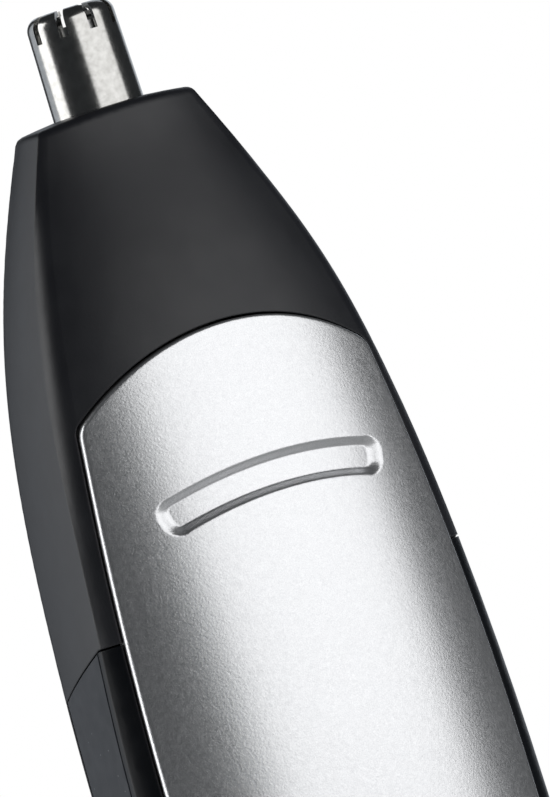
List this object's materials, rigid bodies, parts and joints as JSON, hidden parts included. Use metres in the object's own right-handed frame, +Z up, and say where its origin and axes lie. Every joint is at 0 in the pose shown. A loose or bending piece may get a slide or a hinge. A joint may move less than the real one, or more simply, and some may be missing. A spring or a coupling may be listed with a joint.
{
  "type": "nose hair trimmer",
  "caption": "Slim battery nose and ear hair trimmer: slotted steel guard tube on a tapering black head, silver thumb slider with a crescent groove, rubber side grips.",
  "frame": {"origin": "centre of the flat base that the trimmer stands on", "axes": "+Z up along the trimmer towards the cutter, -Y towards the thumb plate, +X to the right seen from the front"},
  "size_m": [0.0346, 0.0238, 0.1463],
  "materials": {
    "head_plastic": "fine matt, soft sheen",
    "polished_steel": "polished stainless",
    "blade_steel": "ground stainless",
    "dark_plastic": "moulded",
    "brass": "turned",
    "felt": "pressed felt",
    "spring_steel": "plated",
    "white_nylon": "moulded nylon",
    "handle_plastic": "fine sparked texture",
    "grip_rubber": "soft-touch, finely speckled",
    "satin_silver": "satin pearl lacquer",
    "seal_rubber": "moulded",
    "motor_steel": "zinc plated",
    "magnet": "sintered ferrite",
    "cell_jacket": "plain printed sleeve",
    "board_green": "solder mask"
  },
  "bodies": {
    "handle": {"front_shell": "handle_plastic", "rear_shell": "handle_plastic", "shell_screws": "spring_steel", "left_grip": "grip_rubber", "right_grip": "grip_rubber", "chassis": "dark_plastic", "neck_o_ring": "seal_rubber", "motor_can": "motor_steel", "motor_magnets": "magnet", "motor_end_cap": "white_nylon", "motor_terminals": "brass", "motor_gasket": "seal_rubber", "battery": "cell_jacket", "positive_contact": "spring_steel", "contact_strip": "spring_steel", "switch_board": "board_green", "slide_switch": "motor_steel", "detent_spring": "spring_steel"},
    "head": {"head_housing": "head_plastic", "outer_cutter": "polished_steel", "cutter_retainer": "dark_plastic", "drive_sleeve": "dark_plastic", "shaft_bushing": "brass", "hair_seal": "felt"},
    "cutter": {"inner_cutter": "blade_steel", "cutter_shaft": "polished_steel", "cutter_spring": "spring_steel", "drive_dog": "white_nylon"},
    "rotor": {"motor_rotor": "motor_steel", "drive_fork": "white_nylon"},
    "slider": {"front_plate": "satin_silver", "plate_carrier": "dark_plastic", "plate_hooks": "dark_plastic", "switch_lever": "dark_plastic"},
    "cap": {"base_cap": "handle_plastic", "cap_contact": "spring_steel", "battery_spring": "spring_steel"}
  },
  "joints": [
    {"name": "head_pull", "type": "slide", "parent": "handle", "child": "head", "axis": [0, 0, 1], "range_m": [0, 0.028]},
    {"name": "rotor_spin", "type": "hinge", "parent": "handle", "child": "rotor", "pos_m": [0, 0, 0.08], "axis": [0, 0, 1], "continuous": true},
    {"name": "cutter_spin", "type": "hinge", "parent": "head", "child": "cutter", "pos_m": [0, 0, 0.125], "axis": [0, 0, 1], "continuous": true},
    {"name": "switch_slide", "type": "slide", "parent": "handle", "child": "slider", "axis": [0, 0, -1], "range_m": [0, 0.003]},
    {"name": "cap_pull", "type": "slide", "parent": "handle", "child": "cap", "axis": [0, 0, -1], "range_m": [0, 0.022]}
  ],
  "couplings": [
    {"joint": "cutter_spin", "follows": "rotor_spin", "ratio": 1}
  ]
}
